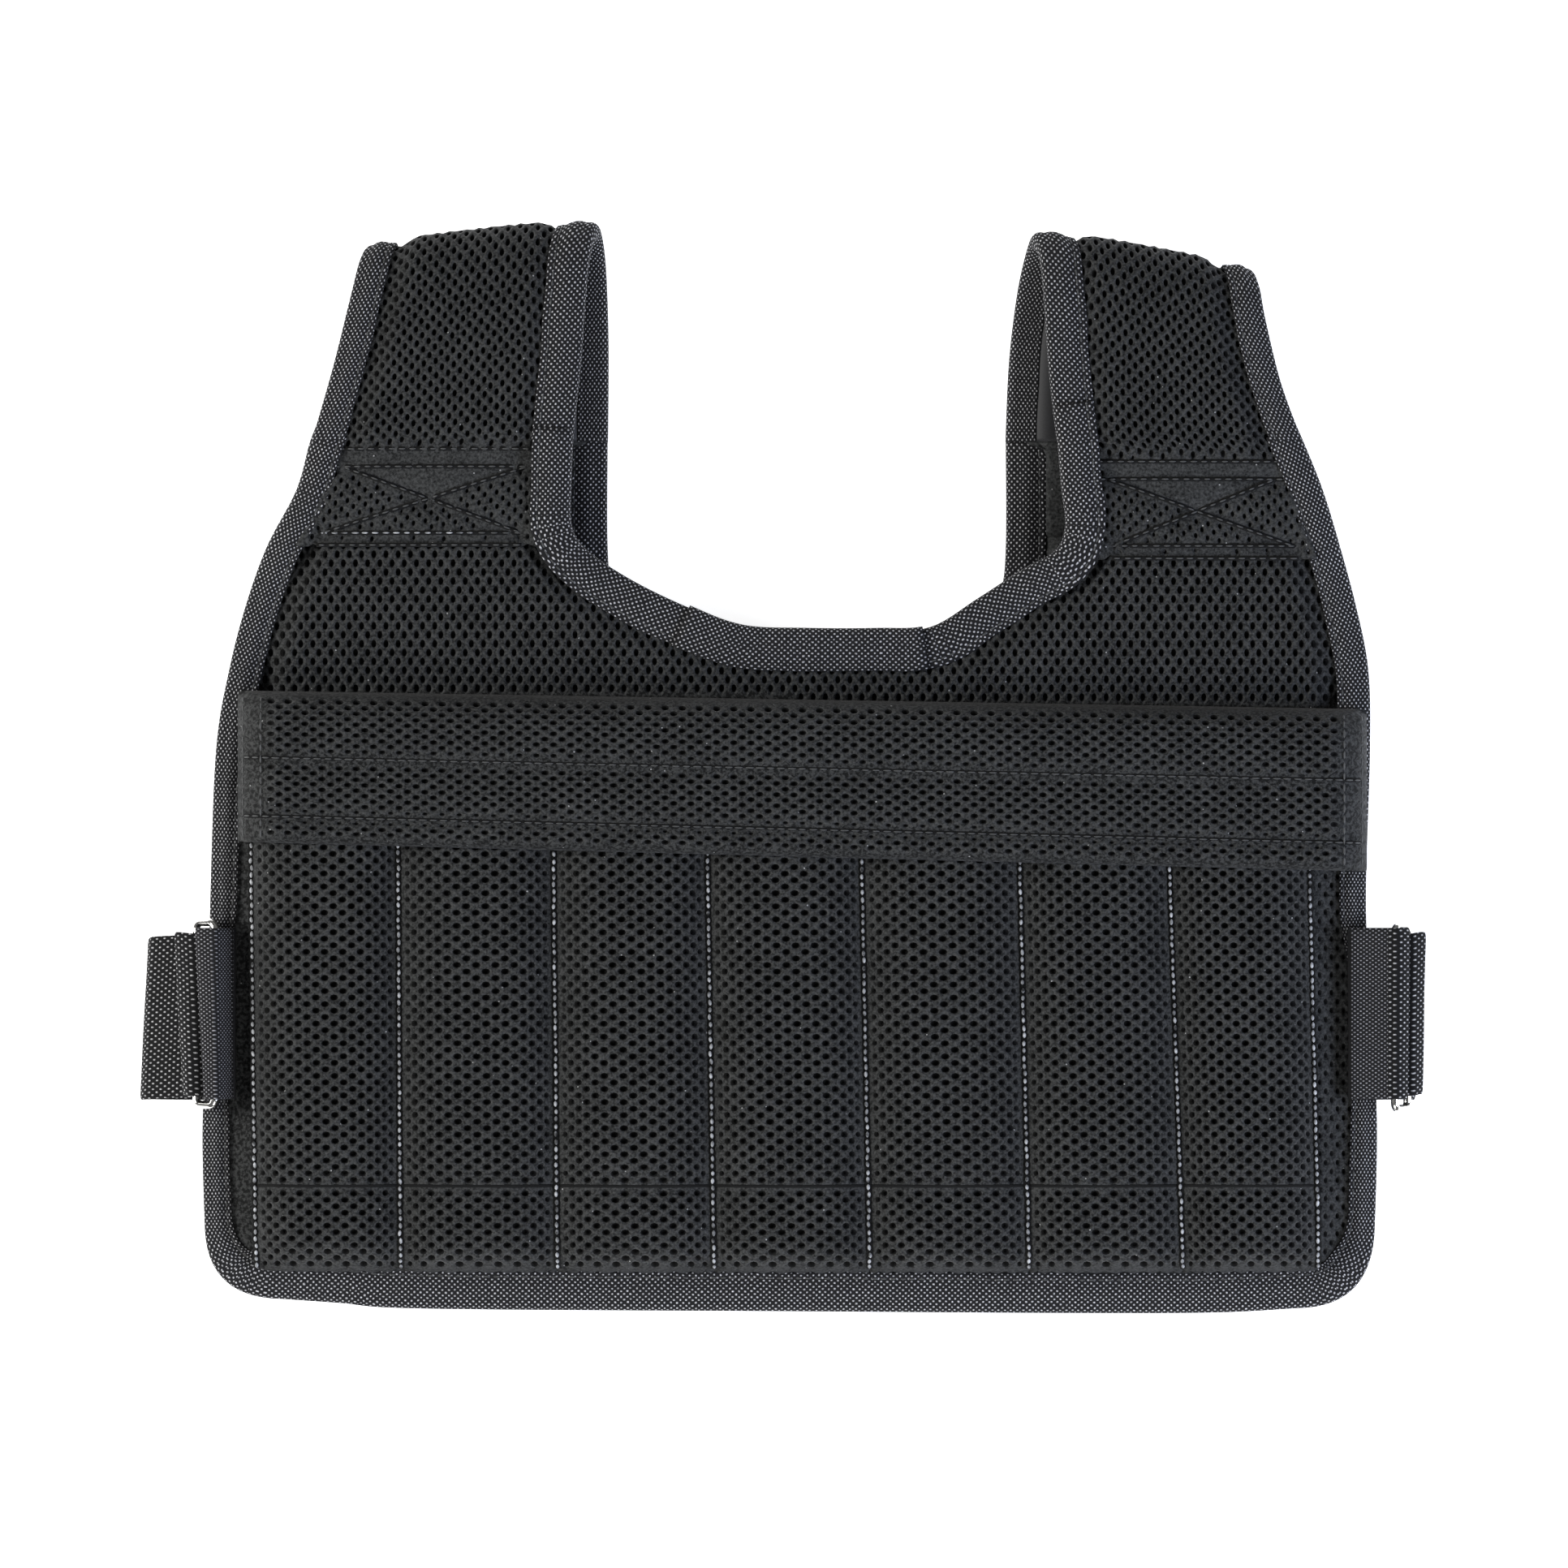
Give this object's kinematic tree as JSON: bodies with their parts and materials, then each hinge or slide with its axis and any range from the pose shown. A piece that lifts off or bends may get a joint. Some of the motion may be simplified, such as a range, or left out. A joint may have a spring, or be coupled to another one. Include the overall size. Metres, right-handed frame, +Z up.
{
  "type": "weighted vest",
  "caption": "Padded weighted vest laid flat, with stitched weight pockets under a wide flap, bound edges, padded shoulder straps and webbing through wire rings at the sides.",
  "frame": {"origin": "on the floor, under the middle of the vest as it lies", "axes": "+X across the vest to the right of the picture, +Y from the hem to the shoulders, +Z up from the floor, out of the front panel"},
  "size_m": [0.3962, 0.336, 0.046],
  "materials": {
    "air_mesh": "black spacer mesh with oval holes, matte",
    "binding_tape": "black woven tape, slightly shiny yarn",
    "coarse_webbing": "black woven webbing with a bead-like weave",
    "fine_webbing": "black woven webbing with a fine weave",
    "lining": "smooth dark cloth",
    "nickel_wire": "polished nickel plate"
  },
  "bodies": {
    "root": {"back_panel": "air_mesh", "back_edge_binding": "binding_tape", "back_neck_binding": "binding_tape", "front_panel": "air_mesh", "front_edge_binding": "binding_tape", "front_neck_binding": "binding_tape", "pocket_1": "air_mesh", "pocket_2": "air_mesh", "pocket_3": "air_mesh", "pocket_4": "air_mesh", "pocket_5": "air_mesh", "pocket_6": "air_mesh", "pocket_7": "air_mesh", "pocket_flap": "air_mesh", "shoulder_strap_left": "air_mesh", "strap_lining_left": "lining", "strap_binding_inner_left": "binding_tape", "strap_binding_outer_left": "binding_tape", "ring_tab_left": "fine_webbing", "wire_ring_left": "nickel_wire", "side_strap_left": "coarse_webbing", "shoulder_strap_right": "air_mesh", "strap_lining_right": "lining", "strap_binding_inner_right": "binding_tape", "strap_binding_outer_right": "binding_tape", "ring_tab_right": "fine_webbing", "wire_ring_right": "nickel_wire", "side_strap_right": "coarse_webbing"}
  },
  "joints": []
}
